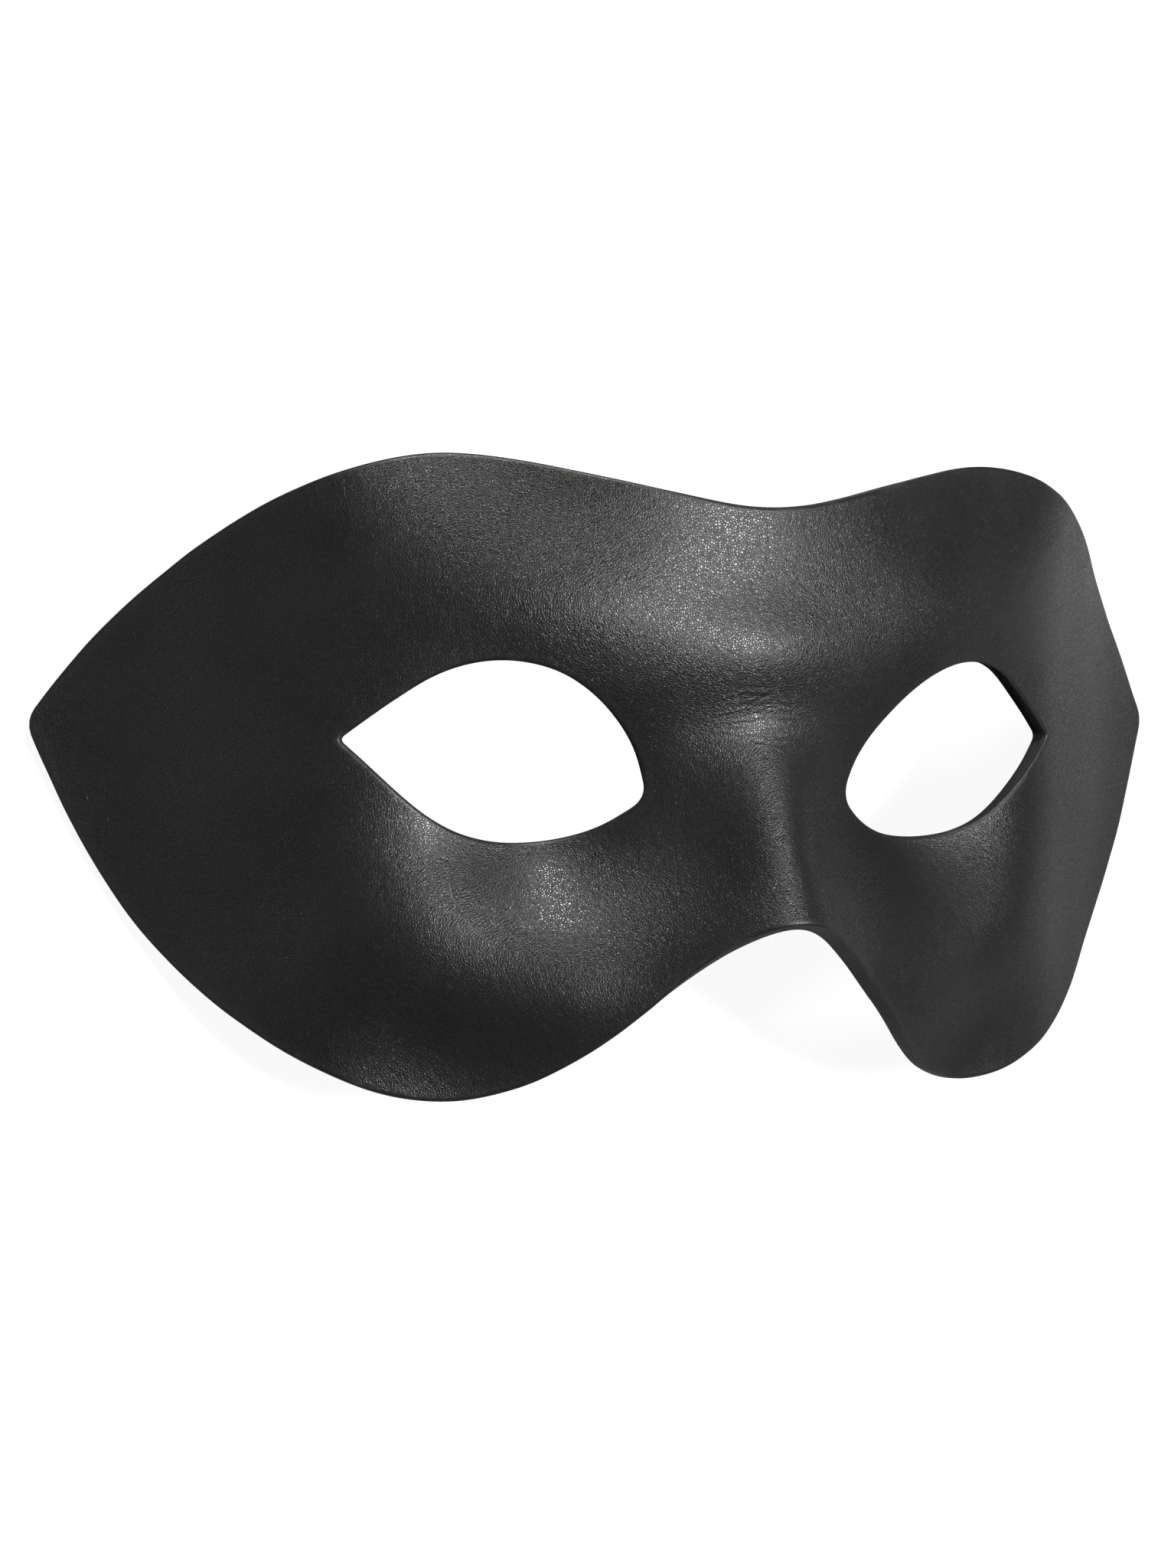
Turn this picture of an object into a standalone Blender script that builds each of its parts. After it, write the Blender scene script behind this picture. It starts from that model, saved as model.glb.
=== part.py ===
"""A half mask moulded from one piece of black leather, lying face up on a table.

The mask is drawn as it is worn: X runs across the face, Y up it and Z forward, in millimetres, with the
temple tips at Y 0 and the top of the forehead at Z 0. One object then places it as it lies by itself:
on the two temple tips and the lower edges of the cheeks, with the forehead raised.
"""
import math

import bmesh
import bpy
import numpy as np
from mathutils import Vector

MM = 0.001

# Sizes of the whole mask
WIDTH = 175.0  # from temple tip to temple tip, straight across
BROW_HEIGHT = 34.8  # from the temple tips up to the top of the brow
CHEEK_DROP = 49.8  # from the temple tips down to the bottom of the cheeks
WRAP_DEPTH = 42.6  # how far the temple tips lie behind the forehead

# The leather and its cut edges
LEATHER = 2.4
EDGE_RADIUS = 0.5  # of the burnished edge's round, on both faces
TIP_CUT = 2.2  # length taken off each side of a temple tip's point by its round

# The eye openings
EYE_WIDTH = 39.0
EYE_HEIGHT = 23.6
EYE_OUT = 35.3  # from the centre line to the middle of an opening
EYE_DROP = 4.2  # from the temple tips down to that middle
OUTER_CORNER_CUT = 0.8
INNER_CORNER_CUT = 2.2

# The moulded relief
RELIEF = 9.0  # the eye socket's depth, which the other swells and hollows follow
NOSE_RISE = 11.0  # the bridge of the nose over its flanks, at the mask's lower edge
NOSE_HALF_WIDTH = 8.5

# What the leather flattens to where it rests
REST_FLAT = 0.4

# Top edge, from the centre line to the temple tip: shares of the half width and the brow height
TOP_EDGE = (
    # across, up
    (0.000, 0.802),
    (0.183, 0.871),
    (0.330, 0.954),
    (0.457, 1.000),
    (0.585, 0.962),
    (0.720, 0.807),
    (0.857, 0.494),
    (0.950, 0.216),
    (1.007, 0.000),
)

# Lower edge, from the temple tip to the centre line: shares of the half width and the cheek drop
LOWER_EDGE = (
    # across, down
    (1.007, 0.000),
    (0.968, 0.183),
    (0.877, 0.500),
    (0.734, 0.799),
    (0.597, 0.950),
    (0.463, 1.000),
    (0.342, 0.952),
    (0.241, 0.823),
    (0.124, 0.624),
    (0.056, 0.553),
    (0.000, 0.536),
)

# Upper lid of an eye opening, from its outer to its inner corner: shares of half its width and height
UPPER_LID = (
    # outward, up
    (1.000, 0.150),
    (0.600, 0.660),
    (0.380, 0.880),
    (0.060, 1.000),
    (-0.300, 0.890),
    (-0.735, 0.385),
    (-0.932, -0.050),
    (-1.030, -0.530),
)

# Lower lid, from the inner to the outer corner, in the same shares
LOWER_LID = (
    # outward, up
    (-1.030, -0.530),
    (-0.770, -0.815),
    (-0.260, -0.990),
    (0.295, -0.815),
    (0.700, -0.330),
    (1.000, 0.150),
)

# Level section round the head: shares of the half width and the wrap depth
WRAP = (
    # across, back
    (0.000, 0.000),
    (0.229, 0.070),
    (0.457, 0.244),
    (0.640, 0.437),
    (0.709, 0.550),
    (0.777, 0.664),
    (0.869, 0.828),
    (0.937, 0.926),
    (1.000, 1.000),
    (1.080, 1.060),
)

# Bridge of the nose from the brow down: shares of the mask's height, the nose's rise and its half width
NOSE = (
    # up, rise, width
    (0.166, 0.000, 1.060),
    (0.071, 0.020, 0.940),
    (-0.010, 0.100, 0.900),
    (-0.047, 0.180, 0.900),
    (-0.142, 0.370, 0.880),
    (-0.237, 0.590, 0.980),
    (-0.332, 0.820, 1.320),
    (-0.450, 1.120, 1.420),
)

# Swells and hollows of the moulded face, each a smooth bump: its place and reach are shares of the half
# width across and of the mask's height up, its tilt is in degrees, and its rise is a share of the relief
FORMS = (
    # name, across, up, reach across, reach up, tilt, rise
    ("glabella", 0.000, 0.100, 0.170, 0.080, 0, 0.15),
    ("brow", 0.389, 0.180, 0.217, 0.115, 8, 0.29),
    ("hairline", 0.434, 0.498, 0.206, 0.142, 0, -0.42),
    ("temple_swell", 0.686, 0.403, 0.183, 0.166, 0, 0.25),
    ("nose_root", 0.000, -0.010, 0.125, 0.090, 0, -0.15),
    ("eye_socket", 0.300, -0.158, 0.188, 0.142, -12, -0.94),
    ("cheek_hollow", 0.411, -0.569, 0.229, 0.190, 0, -0.62),
    ("jowl_hollow", 0.777, -0.367, 0.149, 0.166, 0, -0.20),
    ("cheek_swell", 0.331, -0.438, 0.149, 0.107, 0, 0.33),
    ("cheek_bone", 0.500, -0.310, 0.130, 0.130, 0, 0.22),
)

# How finely the surface is divided, and how far each way its slope is measured
TOP_STEPS = 32
LOWER_STEPS = 34
CENTRE_STEPS = 18
RINGS = 9
CURVE_STEPS = 24
SLOPE_REACH = 0.05
TOP_SHARE_OF_LID = 0.66  # the part of the upper lid that looks up at the top edge; the rest faces the nose

HALF_WIDTH = WIDTH / 2
HEIGHT = BROW_HEIGHT + CHEEK_DROP


def spline(knots, values, places):
    """A natural cubic spline through the values at the knots, read at the places."""
    knots, values, places = (np.asarray(x, float) for x in (knots, values, places))
    gaps = np.diff(knots)
    system = np.eye(len(knots))
    right = np.zeros_like(values)
    for i in range(1, len(knots) - 1):
        before, after = gaps[i - 1], gaps[i]
        system[i, i - 1 : i + 2] = before, 2 * (before + after), after
        right[i] = 6 * ((values[i + 1] - values[i]) / after - (values[i] - values[i - 1]) / before)
    bends = np.linalg.solve(system, right)
    i = np.clip(np.searchsorted(knots, places) - 1, 0, len(gaps) - 1)
    gap = gaps[i]
    a, b = (knots[i + 1] - places) / gap, (places - knots[i]) / gap
    if values.ndim > 1:
        a, b, gap = a[:, None], b[:, None], gap[:, None]
    curve = a * values[i] + b * values[i + 1]
    return curve + ((a**3 - a) * bends[i] + (b**3 - b) * bends[i + 1]) * gap**2 / 6


def wrap_back(across):
    """How far a level section round the head lies back at a distance across."""
    rows = np.array(WRAP)
    knots = np.concatenate([-rows[:0:-1, 0], rows[:, 0]])
    back = np.concatenate([rows[:0:-1, 1], rows[:, 1]])
    return WRAP_DEPTH * spline(knots * HALF_WIDTH, back, across)


def nose_rise(across, up):
    """The bridge of the nose: a rounded ridge that widens and rises towards the lower edge."""
    rows = np.array(NOSE)[::-1]
    level = np.clip(up / HEIGHT, rows[0, 0], rows[-1, 0])
    rise = NOSE_RISE * spline(rows[:, 0], rows[:, 1], level)
    width = NOSE_HALF_WIDTH * spline(rows[:, 0], rows[:, 2], level)
    return rise * np.exp(-((across / width) ** 2))


def forms_rise(across, up):
    """All the swells and hollows of the face, each with its mirror twin."""
    total = np.zeros_like(across)
    for _, out, level, reach_across, reach_up, tilt, rise in FORMS:
        turn = math.radians(tilt)
        for side in (1, -1) if out else (1,):
            x = side * across - out * HALF_WIDTH
            y = up - level * HEIGHT
            along = (x * math.cos(turn) + y * math.sin(turn)) / (reach_across * HALF_WIDTH)
            over = (y * math.cos(turn) - x * math.sin(turn)) / (reach_up * HEIGHT)
            total += RELIEF * rise * np.exp(-(along**2) - over**2)
    return total


def front(across, up):
    """The height of the front surface."""
    return forms_rise(across, up) + nose_rise(across, up) - wrap_back(across)


def surface(points):
    """Points of the front surface, and their normals, over points of the drawing."""
    x, y = points[:, 0], points[:, 1]
    z = front(x, y)
    slope_x = (front(x + SLOPE_REACH, y) - front(x - SLOPE_REACH, y)) / (2 * SLOPE_REACH)
    slope_y = (front(x, y + SLOPE_REACH) - front(x, y - SLOPE_REACH)) / (2 * SLOPE_REACH)
    normals = np.stack([-slope_x, -slope_y, np.ones_like(z)], axis=1)
    return np.stack([x, y, z], axis=1), normals / np.linalg.norm(normals, axis=1)[:, None]


def curve_through(rows, start_mirrored=False, end_mirrored=False):
    """A smooth curve through a table's points. A mirrored end crosses the centre line square to it."""
    points = np.array(rows, float)
    flip = np.array([-1.0, 1.0])
    before = points[2:0:-1] * flip if start_mirrored else points[:0]
    after = points[-2:-4:-1] * flip if end_mirrored else points[:0]
    whole = np.concatenate([before, points, after])
    knots = np.concatenate([[0.0], np.cumsum(np.linalg.norm(np.diff(whole, axis=0), axis=1))])
    first, last = len(before), len(before) + len(points) - 1
    places = np.linspace(knots[first], knots[last], CURVE_STEPS * (len(points) - 1) + 1)
    return spline(knots, whole, places)


def lengths(curve):
    """The length along a curve at each of its points."""
    return np.concatenate([[0.0], np.cumsum(np.linalg.norm(np.diff(curve, axis=0), axis=1))])


def part_of(curve, start, end, count):
    """Evenly spaced points on a curve between two lengths along it."""
    along = lengths(curve)
    places = np.linspace(start, end, count)
    return np.stack([np.interp(places, along, curve[:, i]) for i in (0, 1)], axis=1)


def rounded(first, second, cut):
    """Two curves that meet in a point, with the point rounded off. Each keeps half of the round."""
    whole = lengths(first)[-1]
    near = part_of(first, 0, whole - cut, len(first))
    far = part_of(second, cut, lengths(second)[-1], len(second))
    t = np.linspace(0, 1, CURVE_STEPS + 1)[:, None]
    bend = (1 - t) ** 2 * near[-1] + 2 * t * (1 - t) * first[-1] + t**2 * far[0]
    middle = CURVE_STEPS // 2
    return np.concatenate([near[:-1], bend[: middle + 1]]), np.concatenate([bend[middle:-1], far])


def spread(curve, steps, start=0.0, end=1.0):
    """A curve's points at even steps between two shares of its length."""
    whole = lengths(curve)[-1]
    return part_of(curve, start * whole, end * whole, steps + 1)


def edges():
    """The outer edge and the eye edge of one half, step by step together, each a closed loop.

    Both run from the top of the centre line out to the temple, back under the cheek to the nose, and
    up the centre line; the eye's loop runs round the opening beside it.
    """
    top = curve_through([(a * HALF_WIDTH, u * BROW_HEIGHT) for a, u in TOP_EDGE], start_mirrored=True)
    low = curve_through([(a * HALF_WIDTH, -d * CHEEK_DROP) for a, d in LOWER_EDGE], end_mirrored=True)
    top, low = rounded(top, low, TIP_CUT)

    def at_eye(rows):
        return [(EYE_OUT + o * EYE_WIDTH / 2, u * EYE_HEIGHT / 2 - EYE_DROP) for o, u in rows]

    upper, under = curve_through(at_eye(UPPER_LID)), curve_through(at_eye(LOWER_LID))
    upper, under = rounded(upper, under, INNER_CORNER_CUT)
    under, upper = rounded(under, upper, OUTER_CORNER_CUT)

    outer = [
        spread(top, TOP_STEPS)[:-1],
        spread(low, LOWER_STEPS)[:-1],
        np.linspace(low[-1], top[0], CENTRE_STEPS + 1)[:-1],
    ]
    eye = [
        spread(upper[::-1], TOP_STEPS, 1 - TOP_SHARE_OF_LID, 1)[:-1],
        spread(under[::-1], LOWER_STEPS)[:-1],
        spread(upper[::-1], CENTRE_STEPS, 0, 1 - TOP_SHARE_OF_LID)[:-1],
    ]
    return np.concatenate(outer), np.concatenate(eye)


def inward(loop):
    """Unit vectors square to a clockwise loop, pointing to its inside."""
    along = np.roll(loop, -1, axis=0) - np.roll(loop, 1, axis=0)
    square = np.stack([along[:, 1], -along[:, 0]], axis=1)
    return square / np.linalg.norm(square, axis=1)[:, None]


def face_loops(outer, eye):
    """Where the round of the cut edge ends on each face: the loops moved in from both edges."""
    step_in = inward(outer)
    first_centre = TOP_STEPS + LOWER_STEPS
    step_in[first_centre] = 0, 1
    step_in[0] = 0, -1
    face_outer = outer + EDGE_RADIUS * step_in
    face_outer[first_centre:] = np.linspace(
        outer[first_centre] + (0, EDGE_RADIUS), outer[0] - (0, EDGE_RADIUS), CENTRE_STEPS + 1
    )[:-1]
    return face_outer, eye - EDGE_RADIUS * inward(eye)


def half_mask():
    """Corner points and four-sided faces of one half, open along the centre line."""
    outer, eye = edges()
    face_outer, face_eye = face_loops(outer, eye)
    steps = len(outer)
    points, loops = [], []

    def add_loop(places, depth):
        base, normals = surface(places)
        loops.append(np.arange(steps) + len(points) * steps)
        points.append(base - depth * normals)

    blends = np.linspace(0, 1, RINGS + 1)
    for share in blends:
        add_loop(face_eye * (1 - share) + face_outer * share, 0)
    add_loop(outer, EDGE_RADIUS)
    add_loop(outer, LEATHER - EDGE_RADIUS)
    for share in blends[::-1]:
        add_loop(face_eye * (1 - share) + face_outer * share, LEATHER)
    add_loop(eye, LEATHER - EDGE_RADIUS)
    add_loop(eye, EDGE_RADIUS)

    first_centre = TOP_STEPS + LOWER_STEPS
    edge_bands = (RINGS, RINGS + 1, RINGS + 2)
    faces = []
    for band in range(len(loops)):
        a, b = loops[band], loops[(band + 1) % len(loops)]
        # The centre line has no cut edge: the other half joins there
        reach = first_centre if band in edge_bands else steps
        for i in range(reach):
            j = (i + 1) % steps
            faces.append((a[i], a[j], b[j], b[i]))
    return np.concatenate(points), faces


def mirrored(points, faces):
    """Both halves in one mesh, welded where they meet."""
    mesh = bmesh.new()
    for side in (1, -1):
        corners = [mesh.verts.new((side * x * MM, y * MM, z * MM)) for x, y, z in points]
        for face in faces:
            mesh.faces.new([corners[i] for i in face[::side]])
    loose = [v for v in mesh.verts if not v.link_faces]
    bmesh.ops.delete(mesh, geom=loose, context="VERTS")
    bmesh.ops.remove_doubles(mesh, verts=mesh.verts, dist=1e-6)
    bmesh.ops.triangulate(mesh, faces=mesh.faces, quad_method="SHORT_EDGE")
    bmesh.ops.recalc_face_normals(mesh, faces=mesh.faces)
    return mesh


def centre_of_mass(mesh):
    """The middle of a closed mesh's volume."""
    total, weighted = 0.0, Vector()
    for face in mesh.faces:
        a, b, c = (v.co for v in face.verts)
        share = a.dot(b.cross(c)) / 6
        total += share
        weighted += share * (a + b + c) / 4
    return weighted / total


def resting_pitch(mesh):
    """The turn about X with which the mask lies by itself.

    The mask is even about X, so it lies on an edge of the underside of its side outline: one that has
    the middle of the mask above it. Of the edges that do, it is the one with the middle lowest.
    """
    middle = centre_of_mass(mesh)
    underside = []
    for y, z in sorted({(v.co.y, v.co.z) for v in mesh.verts}):
        point = Vector((y, z))
        while len(underside) > 1 and (underside[-1] - underside[-2]).cross(point - underside[-1]) <= 0:
            underside.pop()
        underside.append(point)
    ways = []
    for start, end in zip(underside, underside[1:]):
        along = (end - start).normalized()
        offset = Vector((middle.y, middle.z)) - start
        if 0 < offset.dot(along) < (end - start).length:
            ways.append((along.cross(offset), -math.atan2(along.y, along.x)))
    return min(ways)[1]


def leather_material():
    """Black vegetable-tanned leather with a soft sheen."""
    material = bpy.data.materials.new("black_leather")
    material.use_nodes = True
    shader = material.node_tree.nodes["Principled BSDF"]
    shader.inputs["Base Color"].default_value = (0.018, 0.018, 0.017, 1)
    shader.inputs["Roughness"].default_value = 0.45
    shader.inputs["Metallic"].default_value = 0.0
    return material


def flattened(mesh, pitch):
    """The mesh cut level a little above its lowest points, where the leather flattens on the table."""
    down = Vector((0, -math.sin(pitch), -math.cos(pitch)))
    lowest = max(v.co.dot(down) for v in mesh.verts)
    level = lowest - REST_FLAT * MM
    geometry = [*mesh.verts, *mesh.edges, *mesh.faces]
    bmesh.ops.bisect_plane(
        mesh, geom=geometry, dist=1e-7, plane_co=down * level, plane_no=down, clear_outer=True
    )
    rims = [e for e in mesh.edges if e.is_boundary]
    bmesh.ops.holes_fill(mesh, edges=rims, sides=0)
    bmesh.ops.remove_doubles(mesh, verts=mesh.verts, dist=2e-6)
    bmesh.ops.triangulate(mesh, faces=mesh.faces)
    return level


def build():
    """The mask as one object, placed as it lies, with the middle of its footprint at the origin."""
    for old in list(bpy.data.objects):
        bpy.data.objects.remove(old, do_unlink=True)
    mesh = mirrored(*half_mask())
    pitch = resting_pitch(mesh)
    level = flattened(mesh, pitch)

    data = bpy.data.meshes.new("mask")
    mesh.to_mesh(data)
    mesh.free()
    data.materials.append(leather_material())
    data.shade_smooth()
    data.set_sharp_from_angle(angle=math.radians(40))

    mask = bpy.data.objects.new("mask", data)
    bpy.context.scene.collection.objects.link(mask)
    mask.rotation_euler.x = pitch
    forward = [v.co.y * math.cos(pitch) - v.co.z * math.sin(pitch) for v in data.vertices]
    mask.location = (0, -(min(forward) + max(forward)) / 2, level)
    print("lies back by %.2f degrees" % math.degrees(pitch))
    return mask


build()
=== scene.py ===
# %% [markdown]
# # A black leather half mask
#
# The real mask is one piece of vegetable-tanned leather, 2 to 3 mm thick. It is cut flat, soaked, pressed
# over a wooden form until it holds the shape of a brow, two eye sockets and a nose, then dyed black and
# rubbed with wax. Its cut edges are burnished, which rounds and polishes them.
#
# This lesson follows the same order: cut the outline, mould it, give it thickness and rounded edges, work
# it by hand, and finish the leather. The light, the floor and the camera come last.

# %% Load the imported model
import math

import bpy
import numpy as np
from mathutils import Matrix, Vector
from mathutils.bvhtree import BVHTree


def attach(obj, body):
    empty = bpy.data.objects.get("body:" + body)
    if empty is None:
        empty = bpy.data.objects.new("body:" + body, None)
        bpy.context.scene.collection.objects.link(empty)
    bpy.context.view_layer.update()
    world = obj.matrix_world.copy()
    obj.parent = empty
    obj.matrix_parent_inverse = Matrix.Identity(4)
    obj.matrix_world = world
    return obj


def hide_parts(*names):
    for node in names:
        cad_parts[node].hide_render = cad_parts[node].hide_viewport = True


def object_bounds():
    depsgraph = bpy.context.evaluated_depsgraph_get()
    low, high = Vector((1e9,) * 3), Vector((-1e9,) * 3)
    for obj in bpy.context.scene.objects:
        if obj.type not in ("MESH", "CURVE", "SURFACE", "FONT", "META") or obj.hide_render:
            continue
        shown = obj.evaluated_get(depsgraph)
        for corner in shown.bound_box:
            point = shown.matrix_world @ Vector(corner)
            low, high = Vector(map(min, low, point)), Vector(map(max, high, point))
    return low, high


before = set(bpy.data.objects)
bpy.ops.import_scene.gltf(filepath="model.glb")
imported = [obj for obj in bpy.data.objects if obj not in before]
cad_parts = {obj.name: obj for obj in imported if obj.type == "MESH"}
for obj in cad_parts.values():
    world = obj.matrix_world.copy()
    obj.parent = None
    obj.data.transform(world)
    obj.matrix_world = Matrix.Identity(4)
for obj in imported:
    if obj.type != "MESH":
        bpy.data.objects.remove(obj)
cad_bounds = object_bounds()
MM = 0.001
print("solid mask, mm:", [round((b - a) / MM, 1) for a, b in zip(*cad_bounds)])

# %% [markdown]
# ## Sizes
#
# All shapes are drawn in millimetres as the mask is worn: X across the face, Y up it, Z forward. Y is 0 at
# the temple tips and Z is 0 at the forehead. The sizes are those of the solid model, so that the fine mask
# lies where the solid one does. Every table below holds shares of these sizes.

# %% Sizes of the mask
WIDTH = 175.0  # from temple tip to temple tip
BROW_HEIGHT = 34.8  # above the tips
CHEEK_DROP = 49.8  # below the tips
WRAP_DEPTH = 42.6  # how far the tips lie behind the forehead
LEATHER = 2.4  # thickness
EDGE_RADIUS = 0.6  # how far the burnished round reaches in from a cut edge
TIP_CUT = 2.2  # length taken off each side of a temple tip's point by its round

EYE_WIDTH = 39.0
EYE_HEIGHT = 23.6
EYE_OUT = 35.3  # from the centre line to the middle of an opening
EYE_DROP = 4.2  # from the temple tips down to that middle
OUTER_CORNER_CUT = 0.8
INNER_CORNER_CUT = 2.2

RELIEF = 9.0  # the eye socket's depth, which the other forms follow
NOSE_RISE = 11.0  # the bridge of the nose over its flanks, at the mask's lower edge
NOSE_HALF_WIDTH = 8.5

HALF_WIDTH = WIDTH / 2
HEIGHT = BROW_HEIGHT + CHEEK_DROP
print("mask as worn: %.0f mm wide, %.1f mm high" % (WIDTH, HEIGHT))

# %% [markdown]
# ## The outline that is cut
#
# The cutter follows a drawn line round the mask and round each eye. A smooth curve through a few chosen
# points gives such a line. A natural cubic spline bends as little as it can between them, as a thin strip
# of wood does, so a short table is enough. Only one half is drawn: the other is its mirror image.

# %% Points of the outline and of an eye opening
TOP_EDGE = (
    # across, up
    (0.000, 0.802),
    (0.183, 0.871),
    (0.330, 0.954),
    (0.457, 1.000),
    (0.585, 0.962),
    (0.720, 0.807),
    (0.857, 0.494),
    (0.950, 0.216),
    (1.007, 0.000),
)
LOWER_EDGE = (
    # across, down
    (1.007, 0.000),
    (0.968, 0.183),
    (0.877, 0.500),
    (0.734, 0.799),
    (0.597, 0.950),
    (0.463, 1.000),
    (0.342, 0.952),
    (0.241, 0.823),
    (0.124, 0.624),
    (0.056, 0.553),
    (0.000, 0.536),
)
UPPER_LID = (
    # outward, up, from the middle of the opening
    (1.000, 0.150),
    (0.600, 0.660),
    (0.380, 0.880),
    (0.060, 1.000),
    (-0.300, 0.890),
    (-0.735, 0.385),
    (-0.932, -0.050),
    (-1.030, -0.530),
)
LOWER_LID = (
    # outward, up
    (-1.030, -0.530),
    (-0.770, -0.815),
    (-0.260, -0.990),
    (0.295, -0.815),
    (0.700, -0.330),
    (1.000, 0.150),
)
print("points in the outline's tables:", len(TOP_EDGE) + len(LOWER_EDGE))

# %% [markdown]
# The helpers below draw the spline, measure along it, round off a corner as a knife does, and spread
# points evenly over a stretch of it. The knots of a spline lie as far apart as its points do, so it doesn't
# bulge where points are close together.

# %% A smooth curve through points
CURVE_STEPS = 40


def spline(knots, values, places):
    """A natural cubic spline through the values at the knots, read at the places."""
    knots, values, places = (np.asarray(x, float) for x in (knots, values, places))
    gaps = np.diff(knots)
    system = np.eye(len(knots))
    right = np.zeros_like(values)
    for i in range(1, len(knots) - 1):
        before, after = gaps[i - 1], gaps[i]
        system[i, i - 1 : i + 2] = before, 2 * (before + after), after
        right[i] = 6 * ((values[i + 1] - values[i]) / after - (values[i] - values[i - 1]) / before)
    bends = np.linalg.solve(system, right)
    i = np.clip(np.searchsorted(knots, places) - 1, 0, len(gaps) - 1)
    gap = gaps[i]
    a, b = (knots[i + 1] - places) / gap, (places - knots[i]) / gap
    if values.ndim > 1:
        a, b, gap = a[:, None], b[:, None], gap[:, None]
    curve = a * values[i] + b * values[i + 1]
    return curve + ((a**3 - a) * bends[i] + (b**3 - b) * bends[i + 1]) * gap**2 / 6


def lengths(curve):
    """The length along a curve at each of its points."""
    return np.concatenate([[0.0], np.cumsum(np.linalg.norm(np.diff(curve, axis=0), axis=1))])


def curve_through(rows, start_mirrored=False, end_mirrored=False):
    """A smooth curve through points. A mirrored end crosses the centre line square to it."""
    points = np.array(rows, float)
    flip = np.array([-1.0, 1.0])
    before = points[2:0:-1] * flip if start_mirrored else points[:0]
    after = points[-2:-4:-1] * flip if end_mirrored else points[:0]
    whole = np.concatenate([before, points, after])
    knots = lengths(whole)
    first, last = len(before), len(before) + len(points) - 1
    return spline(knots, whole, np.linspace(knots[first], knots[last], CURVE_STEPS * (len(points) - 1) + 1))


def part_of(curve, start, end, count):
    """Evenly spaced points on a curve between two lengths along it."""
    along = lengths(curve)
    places = np.linspace(start, end, count)
    return np.stack([np.interp(places, along, curve[:, i]) for i in (0, 1)], axis=1)


def rounded(first, second, cut):
    """Two curves that meet in a point, with the point rounded off. Each keeps half of the round."""
    near = part_of(first, 0, lengths(first)[-1] - cut, len(first))
    far = part_of(second, cut, lengths(second)[-1], len(second))
    t = np.linspace(0, 1, CURVE_STEPS + 1)[:, None]
    bend = (1 - t) ** 2 * near[-1] + 2 * t * (1 - t) * first[-1] + t**2 * far[0]
    middle = CURVE_STEPS // 2
    return np.concatenate([near[:-1], bend[: middle + 1]]), np.concatenate([bend[middle:-1], far])


def spread(curve, steps, start=0.0, end=1.0):
    """A curve's points at even steps between two shares of its length."""
    whole = lengths(curve)[-1]
    return part_of(curve, start * whole, end * whole, steps + 1)


# %% [markdown]
# ## Two loops, step by step together
#
# The leather between the outline and an eye opening is filled with rings, as a tree's rings fill a trunk.
# For that, both loops need the same number of points, and a point of one should face its partner on the
# other. So each loop is cut in three: the top edge faces the upper lid, the lower edge faces the lower
# lid, and the centre line faces the part of the lid beside the nose.

# %% The outer loop and the eye loop of one half
TOP_STEPS = 120
LOWER_STEPS = 130
CENTRE_STEPS = 96
TOP_SHARE_OF_LID = 0.66
FIRST_CENTRE = TOP_STEPS + LOWER_STEPS


def cut_loops():
    """The outer edge and the eye edge, both clockwise from the top of the centre line."""
    top = curve_through([(a * HALF_WIDTH, u * BROW_HEIGHT) for a, u in TOP_EDGE], start_mirrored=True)
    low = curve_through([(a * HALF_WIDTH, -d * CHEEK_DROP) for a, d in LOWER_EDGE], end_mirrored=True)
    top, low = rounded(top, low, TIP_CUT)

    def at_eye(rows):
        return [(EYE_OUT + o * EYE_WIDTH / 2, u * EYE_HEIGHT / 2 - EYE_DROP) for o, u in rows]

    upper, under = curve_through(at_eye(UPPER_LID)), curve_through(at_eye(LOWER_LID))
    upper, under = rounded(upper, under, INNER_CORNER_CUT)
    under, upper = rounded(under, upper, OUTER_CORNER_CUT)
    outer = (
        spread(top, TOP_STEPS)[:-1],
        spread(low, LOWER_STEPS)[:-1],
        np.linspace(low[-1], top[0], CENTRE_STEPS + 1)[:-1],
    )
    eye = (
        spread(upper[::-1], TOP_STEPS, 1 - TOP_SHARE_OF_LID, 1)[:-1],
        spread(under[::-1], LOWER_STEPS)[:-1],
        spread(upper[::-1], CENTRE_STEPS, 0, 1 - TOP_SHARE_OF_LID)[:-1],
    )
    return np.concatenate(outer), np.concatenate(eye)


outer_loop, eye_loop = cut_loops()
print("points in each loop:", len(outer_loop))

# %% [markdown]
# ## The wooden form
#
# The form under the leather is a height over the drawing: first the bend round the head, then the bridge
# of the nose, then each swell and hollow of the face. A swell is a bell curve, which rises and dies away
# with no seam. A table with one row for each form keeps them easy to tell apart and to adjust.

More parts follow.
